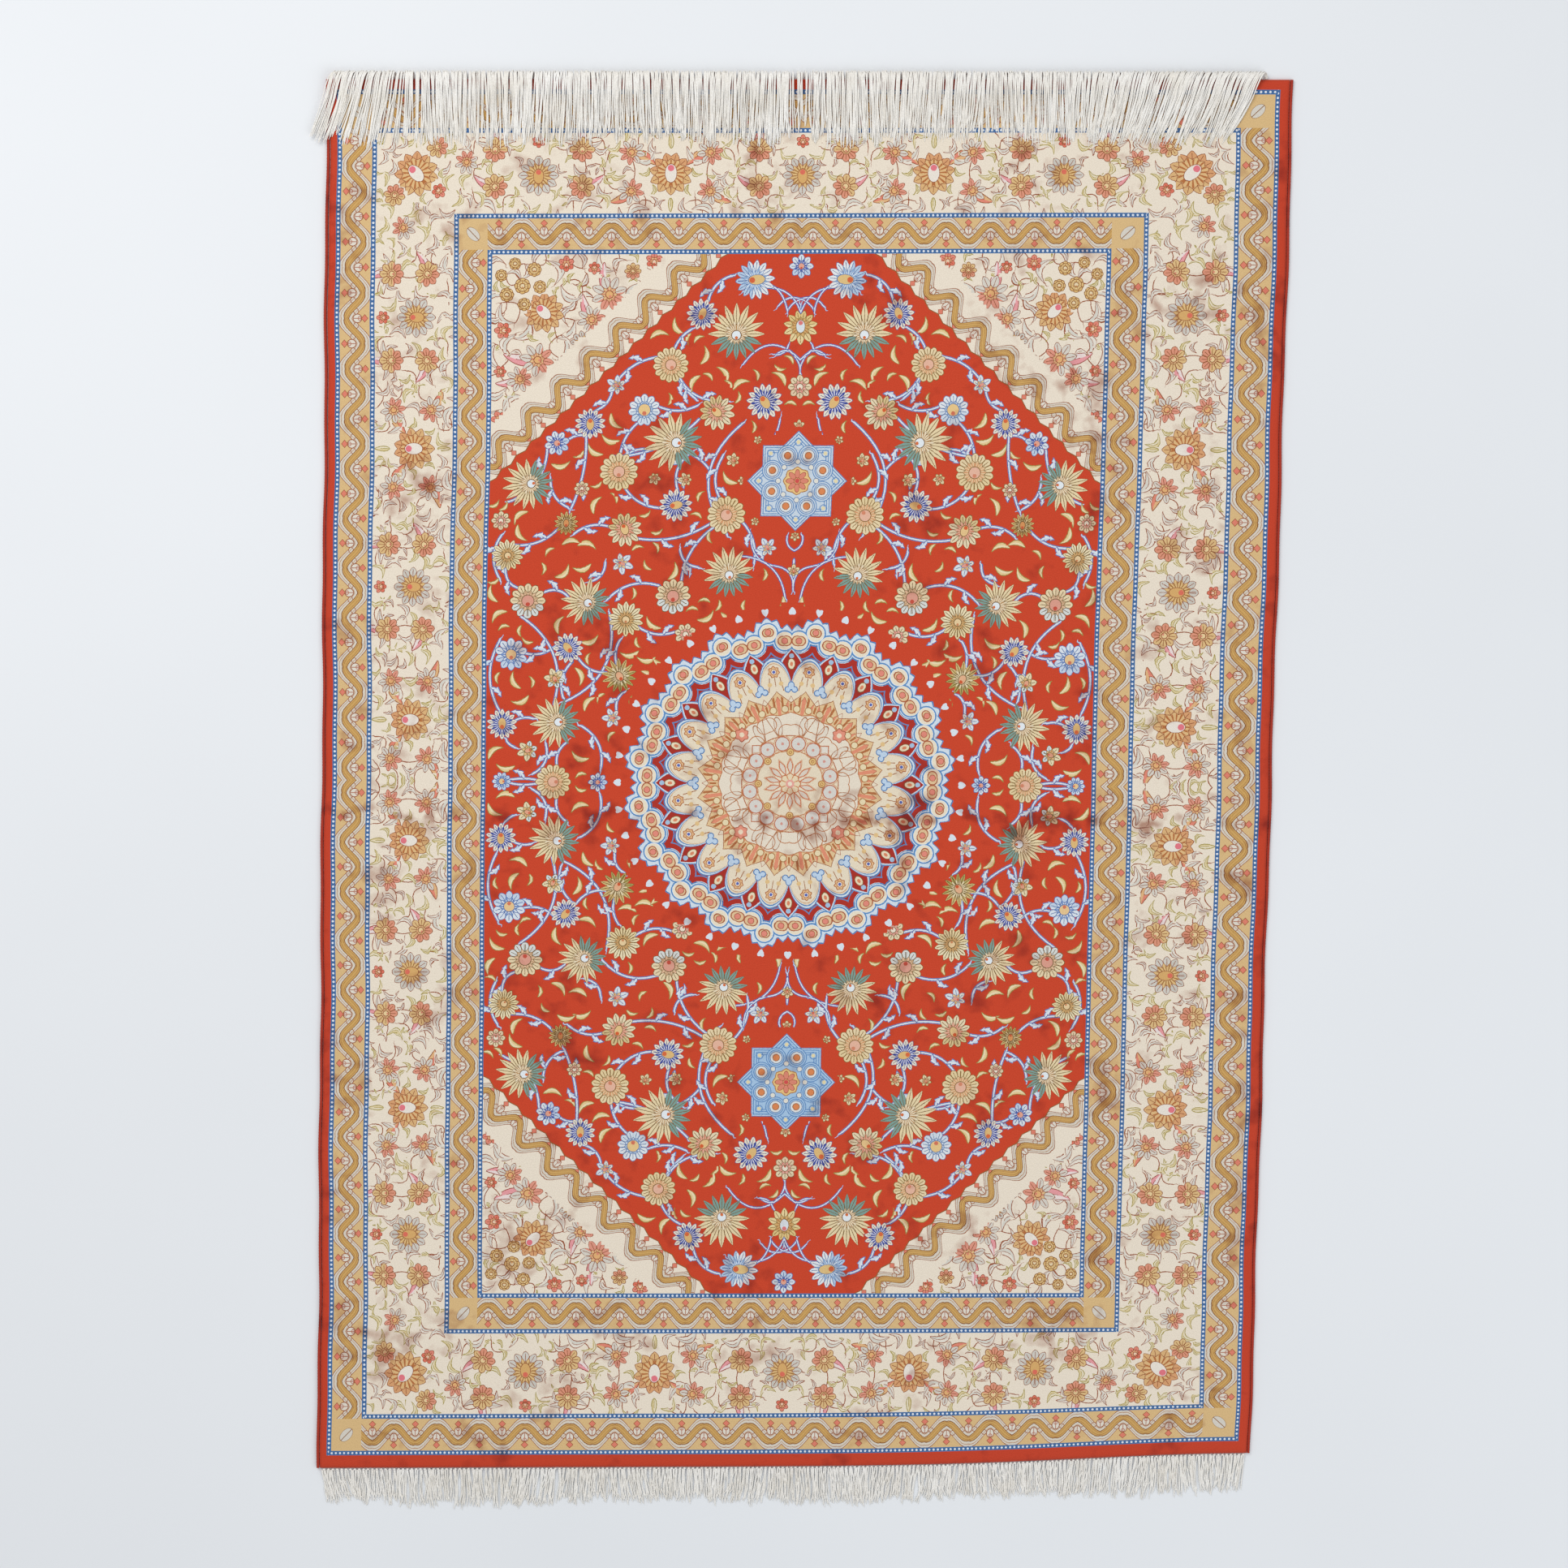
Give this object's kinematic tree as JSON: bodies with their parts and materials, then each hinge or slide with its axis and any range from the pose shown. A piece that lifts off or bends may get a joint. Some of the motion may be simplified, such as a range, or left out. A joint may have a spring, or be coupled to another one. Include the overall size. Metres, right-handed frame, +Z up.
{
  "type": "knotted silk rug",
  "caption": "Fringed rectangular rug with a medallion field and striped floral borders, lying flat with one fringe folded back over its face.",
  "frame": {"origin": "on the underside, below the middle of the central medallion", "axes": "+X across the rug, +Y along it towards the end whose fringe is folded back over the face, +Z up out of the pile"},
  "size_m": [1.0172, 1.5394, 0.0101],
  "materials": {
    "silk_pile": "short clipped silk pile, soft sheen, patterned in red, cream, gold and blue",
    "side_silk": "red silk, overcast in close turns",
    "fringe_silk": "off-white plied warps, slightly shiny"
  },
  "bodies": {
    "root": {"rug": "silk_pile", "side_cord_left": "side_silk", "side_cord_right": "side_silk", "fringe_top": "fringe_silk", "fringe_bottom": "fringe_silk"}
  },
  "joints": []
}
